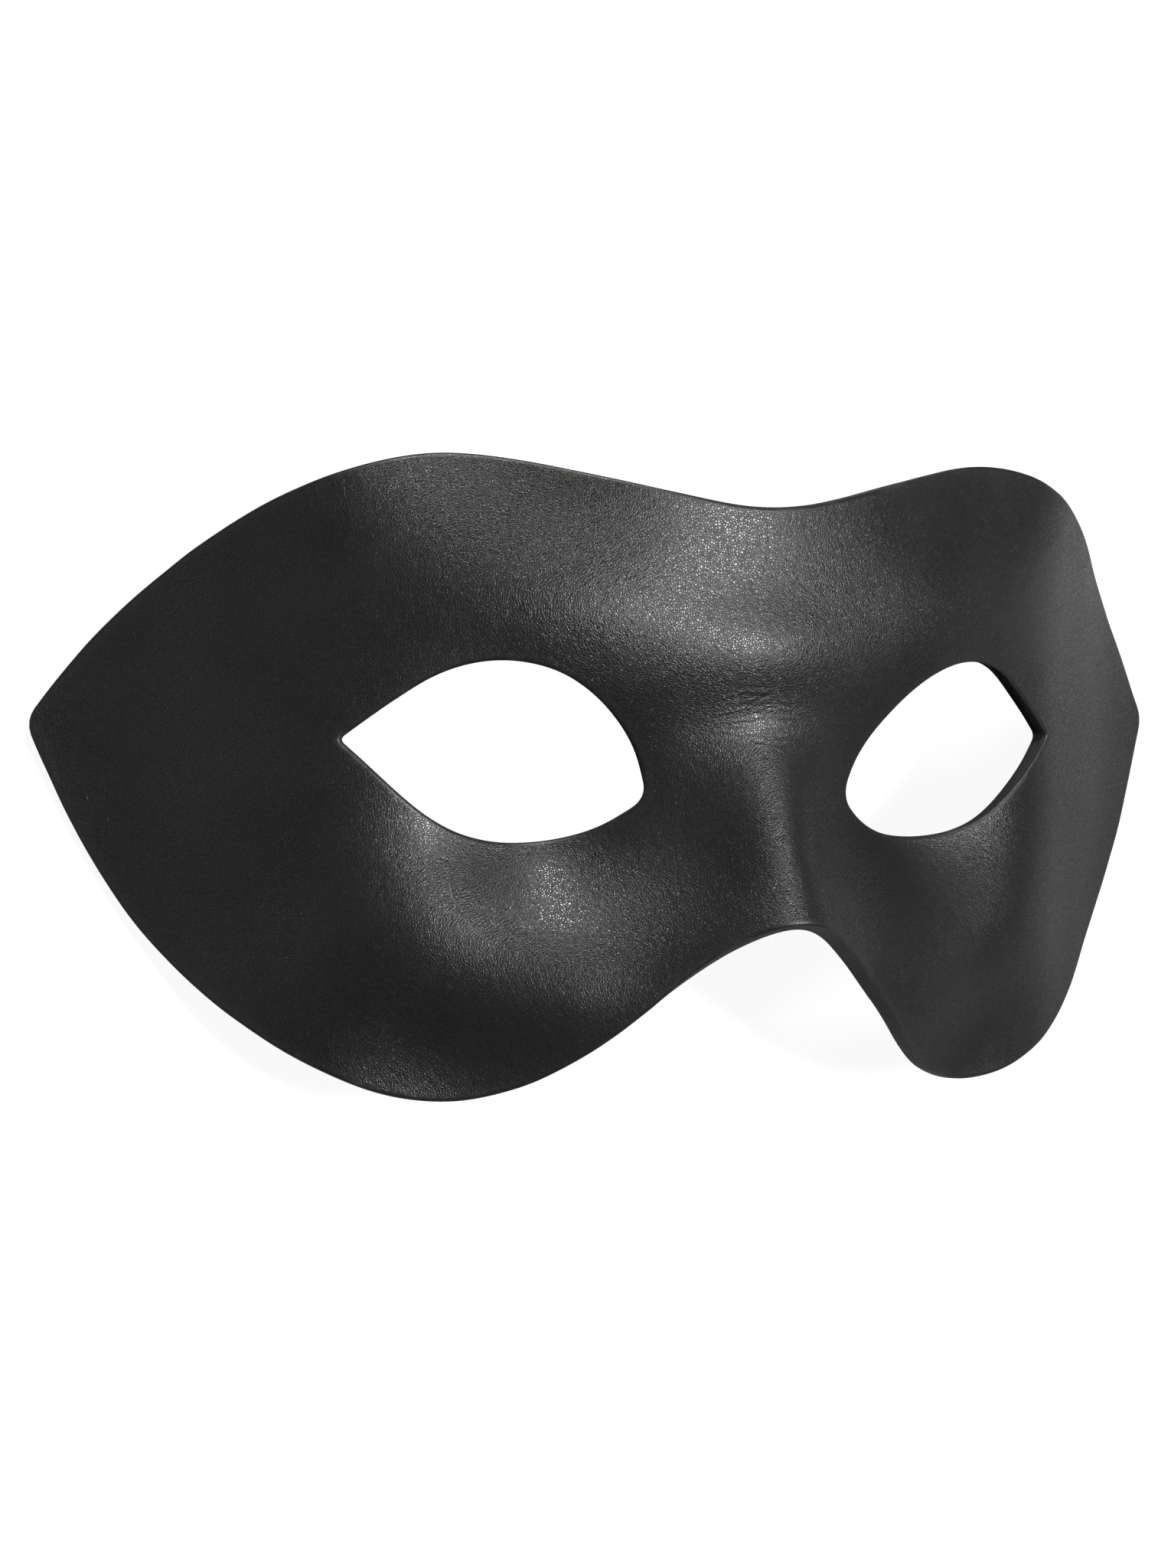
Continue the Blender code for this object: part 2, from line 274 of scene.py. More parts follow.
# %% The bend, the nose and the forms of the face
WRAP = (
    # across, back
    (0.000, 0.000),
    (0.229, 0.070),
    (0.457, 0.244),
    (0.640, 0.437),
    (0.709, 0.550),
    (0.777, 0.664),
    (0.869, 0.828),
    (0.937, 0.926),
    (1.000, 1.000),
    (1.080, 1.060),
)
NOSE = (
    # up, rise, width
    (0.166, 0.000, 1.060),
    (0.071, 0.020, 0.940),
    (-0.010, 0.100, 0.900),
    (-0.047, 0.180, 0.900),
    (-0.142, 0.370, 0.880),
    (-0.237, 0.590, 0.980),
    (-0.332, 0.820, 1.320),
    (-0.450, 1.120, 1.420),
)
FORMS = (
    # name, across, up, reach across, reach up, tilt, rise
    ("glabella", 0.000, 0.100, 0.170, 0.080, 0, 0.15),
    ("brow", 0.389, 0.180, 0.217, 0.115, 8, 0.29),
    ("hairline", 0.434, 0.498, 0.206, 0.142, 0, -0.42),
    ("temple_swell", 0.686, 0.403, 0.183, 0.166, 0, 0.25),
    ("nose_root", 0.000, -0.010, 0.125, 0.090, 0, -0.15),
    ("eye_socket", 0.300, -0.158, 0.188, 0.142, -12, -0.94),
    ("cheek_hollow", 0.411, -0.569, 0.229, 0.190, 0, -0.62),
    ("jowl_hollow", 0.777, -0.367, 0.149, 0.166, 0, -0.20),
    ("cheek_swell", 0.331, -0.438, 0.149, 0.107, 0, 0.33),
    ("cheek_bone", 0.500, -0.310, 0.130, 0.130, 0, 0.22),
)
SLOPE_REACH = 0.05  # how far each way a slope is measured


def wrap_back(across):
    """How far a level section round the head lies back at a distance across."""
    rows = np.array(WRAP)
    knots = np.concatenate([-rows[:0:-1, 0], rows[:, 0]])
    back = np.concatenate([rows[:0:-1, 1], rows[:, 1]])
    return WRAP_DEPTH * spline(knots * HALF_WIDTH, back, across)


def nose_rise(across, up):
    """The bridge of the nose: a rounded ridge that widens and rises towards the lower edge."""
    rows = np.array(NOSE)[::-1]
    level = np.clip(up / HEIGHT, rows[0, 0], rows[-1, 0])
    rise = NOSE_RISE * spline(rows[:, 0], rows[:, 1], level)
    width = NOSE_HALF_WIDTH * spline(rows[:, 0], rows[:, 2], level)
    return rise * np.exp(-((across / width) ** 2))


def forms_rise(across, up):
    """All the swells and hollows of the face, each with its mirror twin."""
    total = np.zeros_like(across)
    for _, out, level, reach_across, reach_up, tilt, rise in FORMS:
        turn = math.radians(tilt)
        for side in (1, -1) if out else (1,):
            x = side * across - out * HALF_WIDTH
            y = up - level * HEIGHT
            along = (x * math.cos(turn) + y * math.sin(turn)) / (reach_across * HALF_WIDTH)
            over = (y * math.cos(turn) - x * math.sin(turn)) / (reach_up * HEIGHT)
            total += RELIEF * rise * np.exp(-(along**2) - over**2)
    return total


def front(across, up):
    """The height of the front surface."""
    return forms_rise(across, up) + nose_rise(across, up) - wrap_back(across)


def surface(flat):
    """Points of the front surface, and their normals, over points of the drawing."""
    x, y = flat[:, 0], flat[:, 1]
    z = front(x, y)
    slope_x = (front(x + SLOPE_REACH, y) - front(x - SLOPE_REACH, y)) / (2 * SLOPE_REACH)
    slope_y = (front(x, y + SLOPE_REACH) - front(x, y - SLOPE_REACH)) / (2 * SLOPE_REACH)
    normals = np.stack([-slope_x, -slope_y, np.ones_like(z)], axis=1)
    return np.stack([x, y, z], axis=1), normals / np.linalg.norm(normals, axis=1)[:, None]


nose_point = front(np.zeros(1), np.array([-LOWER_EDGE[-1][1] * CHEEK_DROP]))[0]
print("the nose stands %.1f mm before the forehead" % nose_point)

# %% [markdown]
# ## Leather with a burnished edge
#
# The sheet gets its thickness square to the surface, as real leather has it. One band of rings covers the
# front and one the back. Between them a few rings go round the cut edge along a rounded profile, so that
# the edge catches light as a rubbed and waxed edge does. Each point also keeps what later steps need: its
# distance from the nearest cut, its depth in the leather, and the direction that the front faces there.

# %% Rings of points over one half
FRONT_RINGS = 48
BACK_RINGS = 26
EDGE_RINGS = 10
EDGE_SQUARENESS = 0.6  # 1 is a full round, smaller is squarer
GATHERING = 0.5  # 0 spaces the front's rings evenly, 1 gathers them beside both cuts
GRAIN_SIDE, CUT_EDGE, FLESH_SIDE = 0, 1, 2


def inward(loop):
    """Unit vectors square to a clockwise loop, pointing to its inside."""
    along = np.roll(loop, -1, axis=0) - np.roll(loop, 1, axis=0)
    square = np.stack([along[:, 1], -along[:, 0]], axis=1)
    return square / np.linalg.norm(square, axis=1)[:, None]


def set_in(loop_outer, loop_eye, reach):
    """Both loops moved into the leather by a distance. The centre line isn't a cut, so it stays."""
    step = inward(loop_outer)
    step[FIRST_CENTRE] = 0, 1
    step[0] = 0, -1
    moved = loop_outer + reach * step
    ends = moved[FIRST_CENTRE].copy(), moved[0].copy()
    moved[FIRST_CENTRE:] = np.linspace(*ends, CENTRE_STEPS + 1)[:-1]
    return moved, loop_eye - reach * inward(loop_eye)


def edge_profile():
    """Rows of the rounded edge from front to back: how far in, and how deep in the leather."""
    rows = []
    for i in range(1, EDGE_RINGS):
        turn = math.pi * i / EDGE_RINGS
        level = math.copysign(abs(math.cos(turn)) ** EDGE_SQUARENESS, math.cos(turn))
        rows.append((EDGE_RADIUS * (1 - math.sin(turn) ** EDGE_SQUARENESS), LEATHER * (1 - level) / 2))
    return rows


def half_rings():
    """All rings of one half in order: front, outer edge, back, eye edge. Each is (flat places, depth)."""
    face_outer, face_eye = set_in(outer_loop, eye_loop, EDGE_RADIUS)
    even = np.linspace(0, 1, FRONT_RINGS + 1)
    gathered = (1 - np.cos(math.pi * even)) / 2
    shares = gathered * GATHERING + even * (1 - GATHERING)
    rings = [(face_eye * (1 - s) + face_outer * s, 0.0) for s in shares]
    kinds = [GRAIN_SIDE] * FRONT_RINGS
    for reach, depth in edge_profile():
        rings.append((set_in(outer_loop, eye_loop, reach)[0], depth))
        kinds.append(CUT_EDGE)
    shares = np.linspace(1, 0, BACK_RINGS + 1)
    rings += [(face_eye * (1 - s) + face_outer * s, LEATHER) for s in shares]
    kinds += [CUT_EDGE] + [FLESH_SIDE] * BACK_RINGS
    for reach, depth in reversed(edge_profile()):
        rings.append((set_in(outer_loop, eye_loop, reach)[1], depth))
        kinds.append(CUT_EDGE)
    return rings, kinds + [CUT_EDGE]


def half_sheet():
    """Flat places, depths and faces of one half, with the kind of leather that each face shows."""
    rings, kinds = half_rings()
    steps = len(outer_loop)
    flat = np.concatenate([places for places, _ in rings])
    depth = np.repeat([d for _, d in rings], steps)
    outer_edge = range(FRONT_RINGS, FRONT_RINGS + EDGE_RINGS)
    faces, shown = [], []
    for band, kind in enumerate(kinds):
        a = band * steps
        b = (band + 1) % len(rings) * steps
        # The outer edge stops at the centre line, where the other half joins
        for i in range(FIRST_CENTRE if band in outer_edge else steps):
            j = (i + 1) % steps
            faces.append((a + i, a + j, b + j, b + i))
            shown.append(kind)
    return flat, depth, np.array(faces), np.array(shown)


print("rings in one half:", len(half_rings()[0]))

# %% [markdown]
# ## Both halves in one mesh
#
# The second half uses the points of the centre line again, so the halves share them and there is nothing
# to weld. Its faces list their corners the other way round, because a mirror turns a face over.


# %% The moulded mask
ON_THE_CENTRE_LINE = 1e-9  # a point nearer to X = 0 than this serves both halves


def distance_to_cut(flat):
    """The distance from each place of the drawing to the nearest cut edge."""
    cuts = np.concatenate([outer_loop[: FIRST_CENTRE + 1], eye_loop])
    return np.array([np.sqrt(((cuts - place) ** 2).sum(axis=1).min()) for place in flat])


def moulded_mesh():
    """The mask's mesh in metres as worn, with the measures that the later steps read."""
    flat, depth, faces, shown = half_sheet()
    base, normals = surface(flat)
    points = base - depth[:, None] * normals
    count = len(points)
    to_cut = distance_to_cut(flat)
    own = np.arange(count)
    twin = np.where(np.abs(points[:, 0]) < ON_THE_CENTRE_LINE, own, own + count)
    both = np.concatenate([faces, twin[faces][:, ::-1]])
    used, corners = np.unique(both, return_inverse=True)
    flip = np.array([-1.0, 1.0, 1.0])
    points = np.concatenate([points, points * flip])[used]
    normals = np.concatenate([normals, normals * flip])[used]

    mesh = bpy.data.meshes.new("mask_leather")
    mesh.from_pydata(points * MM, [], corners.reshape(-1, 4).tolist())
    measures = (
        ("to_cut", "FLOAT", "POINT", "value", np.tile(to_cut, 2)[used] * MM),
        ("depth", "FLOAT", "POINT", "value", np.tile(depth, 2)[used] / LEATHER),
        ("faces_out", "FLOAT_VECTOR", "POINT", "vector", normals),
        ("shows", "INT", "FACE", "value", np.tile(shown, 2)),
    )
    for name, kind, domain, field, values in measures:
        mesh.attributes.new(name, kind, domain).data.foreach_set(field, np.ravel(values))
    return mesh


mask = bpy.data.objects.new("mask_leather", moulded_mesh())
bpy.context.scene.collection.objects.link(mask)
print("moulded mask: %d four-sided faces" % len(mask.data.polygons))

# %% [markdown]
# ## Helpers for node trees
#
# Materials and Geometry Nodes are both trees of nodes. A few short helpers keep the cells that build them
# readable: they add a node and fill in its values, do sums, carry a value from one range to another, and
# make a group's sockets.


# %% Node helpers
def add(tree, kind, inputs=None, **settings):
    """A new node with its settings. An input is a value, or another node's output to link from."""
    node = tree.nodes.new(kind)
    for name, value in settings.items():
        setattr(node, name, value)
    for key, value in (inputs or {}).items():
        if isinstance(value, bpy.types.NodeSocket):
            tree.links.new(value, node.inputs[key])
        else:
            node.inputs[key].default_value = value
    return node


def maths(tree, operation, *values):
    """The output of a Math node."""
    node = add(tree, "ShaderNodeMath", dict(enumerate(values)), operation=operation)
    return node.outputs[0]


def vector_maths(tree, operation, first, second):
    """The output of a Vector Math node."""
    return add(tree, "ShaderNodeVectorMath", {0: first, 1: second}, operation=operation).outputs[0]


def scaled(tree, vector, factor):
    """A vector times a number."""
    return add(tree, "ShaderNodeVectorMath", {0: vector, "Scale": factor}, operation="SCALE").outputs[0]


def remapped(tree, value, low, high, to_low, to_high, smooth=False):
    """A value carried from one range to another and kept inside it."""
    kind = "SMOOTHSTEP" if smooth else "LINEAR"
    inputs = {"Value": value, "From Min": low, "From Max": high, "To Min": to_low, "To Max": to_high}
    return add(tree, "ShaderNodeMapRange", inputs, interpolation_type=kind).outputs[0]


def new_group(name, kind, inputs, outputs):
    """A node group with named sockets, and its input and output nodes."""
    group = bpy.data.node_groups.new(name, kind)
    for direction, sockets in (("INPUT", inputs), ("OUTPUT", outputs)):
        for socket, socket_kind, *default in sockets:
            kind_of_socket = "NodeSocket" + socket_kind
            made = group.interface.new_socket(socket, in_out=direction, socket_type=kind_of_socket)
            if default:
                made.default_value = default[0]
    return group, group.nodes.new("NodeGroupInput"), group.nodes.new("NodeGroupOutput")


print("helpers ready")

# %% [markdown]
# ## Leather grain as a shared node group
#
# Smooth calf leather shows a fine grain: small cells with flat tops and narrow valleys between them. A
# Voronoi texture that measures the distance to a cell's edge draws such cells. Real cells aren't even, so
# the pattern is warped by noise first, and a coarser layer of cells gathers them in groups. Each cell also
# gets a tone of its own, because wax takes to each a little differently. All three finishes of the mask use
# this one group with their own values.


# %% The grain group
def grain_group():
    group, given, result = new_group(
        "leather_grain",
        "ShaderNodeTree",
        (
            ("Vector", "Vector"),
            ("Cells per metre", "Float", 3100.0),
            ("Warp", "Float", 0.0006),
            ("Roundness", "Float", 0.27),
            ("Coarse share", "Float", 0.20),
        ),
        (("Height", "Float"), ("Valleys", "Float"), ("Cell tone", "Float")),
    )
    places, cells = given.outputs["Vector"], given.outputs["Cells per metre"]

    def warped(vector, scale_share, reach):
        """Places pushed about by noise, so that straight rows of cells bend."""
        scale = maths(group, "MULTIPLY", cells, scale_share)
        noise = add(group, "ShaderNodeTexNoise", {"Vector": vector, "Scale": scale}).outputs["Color"]
        centred = vector_maths(group, "SUBTRACT", noise, (0.5, 0.5, 0.5))
        return vector_maths(group, "ADD", vector, scaled(group, centred, reach))

    def domes(scale_share, flat):
        """Cells that rise from 0 at their edges to 1, and stay level from a share of their width on."""
        scale = maths(group, "MULTIPLY", cells, scale_share)
        inputs = {"Vector": bent, "Scale": scale}
        edge = add(group, "ShaderNodeTexVoronoi", inputs, feature="DISTANCE_TO_EDGE").outputs["Distance"]
        return remapped(group, edge, 0.0, flat, 0.0, 1.0, smooth=True)

    bent = warped(warped(places, 0.09, given.outputs["Warp"]), 0.6, maths(group, "DIVIDE", 0.25, cells))
    fine, coarse = domes(1.0, given.outputs["Roundness"]), domes(0.31, 0.3)
    cell = add(group, "ShaderNodeTexVoronoi", {"Vector": bent, "Scale": cells})
    tone = add(group, "ShaderNodeSeparateColor", {"Color": cell.outputs["Color"]}).outputs[0]
    share = given.outputs["Coarse share"]
    fine_share = maths(group, "MULTIPLY", fine, maths(group, "SUBTRACT", 1.0, share))
    height = maths(group, "ADD", fine_share, maths(group, "MULTIPLY", coarse, share))
    group.links.new(height, result.inputs["Height"])
    group.links.new(maths(group, "SUBTRACT", 1.0, fine), result.inputs["Valleys"])
    group.links.new(tone, result.inputs["Cell tone"])
    return group


leather_grain = grain_group()
grain_sockets = leather_grain.interface.items_tree
print("grain group outputs:", [s.name for s in grain_sockets if s.in_out == "OUTPUT"])

# %% [markdown]
# ## Rubbed edges as a shared node group
#
# Hands and cloth polish leather most beside its cut edges. The mesh knows how far each point is from a
# cut, so a mask that is strong at the edge and fades over a millimetre or two needs no painting. Noise
# breaks it up, because rubbing by hand is never even.


# %% The rubbed edge group
def rub_group():
    group, given, result = new_group(
        "rubbed_edge",
        "ShaderNodeTree",
        (("Vector", "Vector"), ("Distance", "Float"), ("Reach", "Float", 0.002)),
        (("Rubbed", "Float"),),
    )
    near = remapped(group, given.outputs["Distance"], 0.0, given.outputs["Reach"], 1.0, 0.0, smooth=True)
    inputs = {"Vector": given.outputs["Vector"], "Scale": 240.0, "Detail": 4.0}
    noise = add(group, "ShaderNodeTexNoise", inputs).outputs["Fac"]
    uneven = remapped(group, noise, 0.35, 0.65, 0.45, 1.0)
    group.links.new(maths(group, "MULTIPLY", near, uneven), result.inputs["Rubbed"])
    return group


rubbed_edge = rub_group()
print("rubbed edge group ready")

# %% [markdown]
# ## Three finishes of one leather
#
# The grain side is dyed black and waxed to a soft sheen. Its valleys are duller than the tops of its cells,
# and their colour is painted darker as painted shade. Noise tilts the tops a little, so a highlight breaks
# into small bright cells. The cut edge is burnished: a little greyer, with faint lines along it from the
# layers of the hide. The flesh side, at the back, is dull and fibrous, and its valleys carry painted shade
# too. Each is a Principled shader with its own grain values, so they belong together but don't match.
# Depths are in metres, and the noise scales say how many waves go to a metre.

# %% Materials
DYED_BLACK = (0.014, 0.014, 0.0135)
WORN_BLACK = (0.020, 0.0195, 0.019)
# Painted shade for the valleys of the grain
PAINTED_VALLEY_SHADE = (0.006, 0.006, 0.006)
RUBBED_GREY = (0.032, 0.032, 0.031)
GRAIN_DEPTH = 0.000023
TILT_DEPTH = 0.00004
FOLD_DEPTH = 0.00010
WRINKLE_DEPTH = 0.000012


def leather_base(name):
    """A new material, its tree, its Principled shader and its object coordinates."""
    material = bpy.data.materials.new(name)
    material.use_nodes = True
    tree = material.node_tree
    places = add(tree, "ShaderNodeTexCoord").outputs["Object"]
    return material, tree, tree.nodes["Principled BSDF"], places


def use_group(tree, group, inputs):
    """A node that holds a group, with its inputs filled in."""
    return add(tree, "ShaderNodeGroup", inputs, node_tree=group)


def mixed(tree, share, first, second):
    """Two colours mixed by a share. A Mix node's colour sockets are inputs 6 and 7 and output 2."""
    node = add(tree, "ShaderNodeMix", data_type="RGBA")
    tree.links.new(share, node.inputs["Factor"])
    for socket, colour in ((node.inputs[6], first), (node.inputs[7], second)):
        if isinstance(colour, bpy.types.NodeSocket):
            tree.links.new(colour, socket)
        else:
            socket.default_value = (*colour, 1)
    return node.outputs[2]


def bumped(tree, height, depth, normal=None):
    """A Bump node's normal for heights from 0 to 1 and a depth in metres."""
    inputs = {"Height": height, "Distance": depth, "Strength": 1.0}
    if normal:
        inputs["Normal"] = normal
    return add(tree, "ShaderNodeBump", inputs).outputs["Normal"]


def noise_at(tree, places, scale, detail):
    """Noise from 0 to 1 at places."""
    inputs = {"Vector": places, "Scale": scale, "Detail": detail}
    return add(tree, "ShaderNodeTexNoise", inputs).outputs["Fac"]


def wrinkle_lines(tree, places):
    """Thin lines where a noise crosses its middle, in patches: 1 in a wrinkle and 0 elsewhere."""
    drift = {"Vector": places, "Rotation": (0, 0, 0.9), "Scale": (1.0, 0.35, 1.0)}
    drawn_out = add(tree, "ShaderNodeMapping", drift).outputs[0]
    inputs = {"Vector": drawn_out, "Scale": 480.0, "Detail": 2.0, "Distortion": 0.4}
    noise = add(tree, "ShaderNodeTexNoise", inputs)
    off_middle = maths(tree, "ABSOLUTE", maths(tree, "SUBTRACT", noise.outputs["Fac"], 0.5))
    lines = remapped(tree, off_middle, 0.0, 0.035, 1.0, 0.0, smooth=True)
    patches = noise_at(tree, places, 60.0, 1.0)
    return maths(tree, "MULTIPLY", lines, remapped(tree, patches, 0.48, 0.62, 0.0, 1.0, smooth=True))


def measured(tree, name):
    """A measure that the mesh keeps."""
    return add(tree, "ShaderNodeAttribute", attribute_name=name).outputs["Fac"]


def grain_side():
    """Black waxed grain leather."""
    material, tree, shader, places = leather_base("grain_side")
    grain = use_group(tree, leather_grain, {"Vector": places})
    edge = {"Vector": places, "Distance": measured(tree, "to_cut")}
    rubbed = use_group(tree, rubbed_edge, edge).outputs["Rubbed"]
    blotches = noise_at(tree, places, 55.0, 5.0)
    valleys = grain.outputs["Valleys"]
    tone = mixed(tree, remapped(tree, blotches, 0.35, 0.65, 0.0, 1.0), DYED_BLACK, WORN_BLACK)
    # Painted shade: the valleys of the grain are darkened in the base colour
    tone = mixed(tree, maths(tree, "MULTIPLY", valleys, 0.8), tone, PAINTED_VALLEY_SHADE)
    tone = mixed(tree, maths(tree, "MULTIPLY", rubbed, 0.3), tone, RUBBED_GREY)
    tree.links.new(tone, shader.inputs["Base Color"])

    rough = remapped(tree, blotches, 0.3, 0.7, 0.19, 0.25)
    rough = maths(tree, "ADD", rough, maths(tree, "MULTIPLY", grain.outputs["Cell tone"], 0.08))
    rough = maths(tree, "ADD", rough, maths(tree, "MULTIPLY", valleys, 0.22))
    tree.links.new(rough, shader.inputs["Roughness"])

    across = add(tree, "ShaderNodeMapping", {"Vector": places, "Scale": (0.22, 1.0, 1.0)}).outputs[0]
    folds = maths(tree, "MULTIPLY", noise_at(tree, across, 1500.0, 2.0), measured(tree, "crease"))
    normal = bumped(tree, folds, FOLD_DEPTH)
    normal = bumped(tree, wrinkle_lines(tree, places), -WRINKLE_DEPTH, normal)
    normal = bumped(tree, noise_at(tree, places, 1300.0, 1.0), TILT_DEPTH, normal)
    normal = bumped(tree, grain.outputs["Height"], GRAIN_DEPTH, normal)
    tree.links.new(normal, shader.inputs["Normal"])
    return material


def burnished_edge():
    """The rubbed and waxed cut edge."""
    material, tree, shader, places = leather_base("burnished_edge")
    values = {"Vector": places, "Cells per metre": 5200.0, "Warp": 0.0003}
    grain = use_group(tree, leather_grain, values)
    wander = noise_at(tree, places, 300.0, 3.0)
    layers = maths(tree, "MULTIPLY", measured(tree, "depth"), 26.0)
    layers = maths(tree, "ADD", layers, maths(tree, "MULTIPLY", wander, 9.0))
    lines = maths(tree, "ADD", maths(tree, "MULTIPLY", maths(tree, "SINE", layers), 0.5), 0.5)
    tone = mixed(tree, lines, (0.016, 0.016, 0.0155), (0.030, 0.0295, 0.029))
    tree.links.new(tone, shader.inputs["Base Color"])
    tree.links.new(remapped(tree, wander, 0.3, 0.7, 0.30, 0.45), shader.inputs["Roughness"])
    normal = bumped(tree, lines, 0.00002)
    tree.links.new(bumped(tree, grain.outputs["Height"], 0.00001, normal), shader.inputs["Normal"])
    return material


def flesh_side():
    """The fibrous inner side."""
    material, tree, shader, places = leather_base("flesh_side")
    values = {"Vector": places, "Cells per metre": 1500.0, "Warp": 0.0009, "Coarse share": 0.6}
    grain = use_group(tree, leather_grain, values)
    fibres = noise_at(tree, places, 1800.0, 6.0)
    tone = mixed(tree, fibres, (0.016, 0.0155, 0.015), (0.040, 0.038, 0.036))
    # Painted shade: the valleys of the flesh side's grain are darkened in the base colour
    tone = mixed(tree, maths(tree, "MULTIPLY", grain.outputs["Valleys"], 0.5), tone, (0.010, 0.010, 0.010))
    tree.links.new(tone, shader.inputs["Base Color"])
    tree.links.new(remapped(tree, fibres, 0.3, 0.7, 0.75, 0.92), shader.inputs["Roughness"])
    normal = bumped(tree, fibres, 0.00008)
    tree.links.new(bumped(tree, grain.outputs["Height"], 0.00008, normal), shader.inputs["Normal"])
    return material


finishes = (grain_side(), burnished_edge(), flesh_side())
print("finishes:", [m.name for m in finishes])

# %% [markdown]
# ## Creases across the root of the nose
#
# Where the form is deepest and narrowest, between the eyes, the wet leather was pushed together and kept a
# few short creases. They follow the surface, so they are drawn as lines on it and pressed in by Geometry
# Nodes in the next step. One row of the table is one crease: where it starts and ends, and how far its
# middle rises above the straight line.

# %% Lines of the creases
CREASES = (
    # from across, from up, to across, to up, bow: in millimetres
    (-7.0, 2.9, -1.0, 3.5, 0.5),
    (-5.5, 1.9, 2.5, 2.2, 0.6),
    (-8.0, 0.6, -0.5, 1.2, 0.5),
    (-1.5, 0.9, 6.5, 0.7, 0.5),
    (-7.0, -0.5, 3.5, 0.1, 0.6),
    (-6.5, -1.6, 0.8, -0.8, 0.4),
    (1.0, -0.9, 7.5, -1.2, 0.4),
    (-5.5, -2.9, 2.2, -1.9, 0.4),
    (-2.5, -3.3, 5.0, -3.0, 0.4),
)
CREASE_STEPS = 14


def crease_lines():
    """An object of loose edges, one polyline for each crease, lying on the front of the leather."""
    t = np.linspace(0, 1, CREASE_STEPS + 1)
    points, links = [], []
    for from_across, from_up, to_across, to_up, bow in CREASES:
        start = len(points)
        across = from_across + (to_across - from_across) * t
        up = from_up + (to_up - from_up) * t + bow * np.sin(math.pi * t)
        points += list(surface(np.stack([across, up], axis=1))[0] * MM)
        links += [(start + i, start + i + 1) for i in range(CREASE_STEPS)]
    mesh = bpy.data.meshes.new("crease_lines")
    mesh.from_pydata(points, links, [])
    lines = bpy.data.objects.new("crease_lines", mesh)
    bpy.context.scene.collection.objects.link(lines)
    return lines


creases = crease_lines()
print("creases drawn:", len(CREASES))

# %% [markdown]
# ## Work by hand, in Geometry Nodes
#
# A moulded mask isn't perfectly even. The leather swells and sinks by a hair's breadth, and a knife
# wanders a little round an eye opening. A Geometry Nodes tree adds this over the whole surface at once,
# because every point follows the same rule. Noise moves the points along the direction that the front
# faces, front and back together, so the thickness stays. Near a cut it also moves them sideways. The
# distance to the crease lines presses the creases in. The tree ends by giving each face its finish.


# %% The tree and its inputs
def hand_work_tree():
    group, given, result = new_group(
        "hand_work",
        "GeometryNodeTree",
        (
            ("Geometry", "Geometry"),
            ("Swell", "Float", 0.00016),
            ("Swells per metre", "Float", 42.0),
            ("Knife wander", "Float", 0.0005),
            ("Wanders per metre", "Float", 75.0),
            ("Wander reach", "Float", 0.004),
            ("Crease lines", "Object"),
            ("Crease depth", "Float", 0.00006),
            ("Crease width", "Float", 0.00040),
            ("Seed", "Float", 3.0),
            ("Grain side", "Material"),
            ("Cut edge", "Material"),
            ("Flesh side", "Material"),
        ),
        (("Geometry", "Geometry"),),
    )
    place = add(group, "GeometryNodeInputPosition").outputs[0]

    def measure(name, kind):
        node = add(group, "GeometryNodeInputNamedAttribute", {"Name": name}, data_type=kind)
        return node.outputs["Attribute"]

    def noise(scale):
        inputs = {"Vector": place, "W": given.outputs["Seed"], "Scale": given.outputs[scale], "Detail": 1.0}
        return add(group, "ShaderNodeTexNoise", inputs, noise_dimensions="4D")

    faces_out = measure("faces_out", "FLOAT_VECTOR")
    swell = maths(group, "SUBTRACT", noise("Swells per metre").outputs["Fac"], 0.5)
    swell = scaled(group, faces_out, maths(group, "MULTIPLY", swell, given.outputs["Swell"]))

    reach, most = given.outputs["Wander reach"], given.outputs["Knife wander"]
    near_cut = remapped(group, measure("to_cut", "FLOAT"), 0.0, reach, most, 0.0)
    wander = noise("Wanders per metre").outputs["Color"]
    wander = scaled(group, vector_maths(group, "SUBTRACT", wander, (0.5, 0.5, 0.5)), near_cut)

    drawn = add(group, "GeometryNodeObjectInfo", {"Object": given.outputs["Crease lines"]})
    lines = drawn.outputs["Geometry"]
    nearest = add(group, "GeometryNodeProximity", {0: lines}, target_element="EDGES").outputs["Distance"]
    pressed = remapped(group, nearest, 0.0, given.outputs["Crease width"], 1.0, 0.0, smooth=True)
    pressed = maths(group, "MULTIPLY", pressed, maths(group, "SUBTRACT", 1.0, measure("depth", "FLOAT")))
    dent = maths(group, "MULTIPLY", pressed, maths(group, "MULTIPLY", given.outputs["Crease depth"], -1.0))
    dent = scaled(group, faces_out, dent)
    offset = vector_maths(group, "ADD", vector_maths(group, "ADD", swell, wander), dent)

    kept = add(
        group,
        "GeometryNodeStoreNamedAttribute",
        {"Geometry": given.outputs["Geometry"], "Name": "crease", "Value": pressed},
        data_type="FLOAT",
        domain="POINT",
    )
    moved = add(group, "GeometryNodeSetPosition", {"Geometry": kept.outputs[0], "Offset": offset})
    whole = add(group, "GeometryNodeRealizeInstances", {"Geometry": moved.outputs[0]}).outputs[0]
    shows = measure("shows", "INT")
    for number, socket in ((GRAIN_SIDE, "Grain side"), (CUT_EDGE, "Cut edge"), (FLESH_SIDE, "Flesh side")):
        chosen = add(group, "FunctionNodeCompare", data_type="INT", operation="EQUAL")
        group.links.new(shows, chosen.inputs[2])
        chosen.inputs[3].default_value = number
        whole = add(
            group,
            "GeometryNodeSetMaterial",
            {"Geometry": whole, "Selection": chosen.outputs[0], "Material": given.outputs[socket]},
        ).outputs[0]
    group.links.new(whole, result.inputs["Geometry"])
    return group


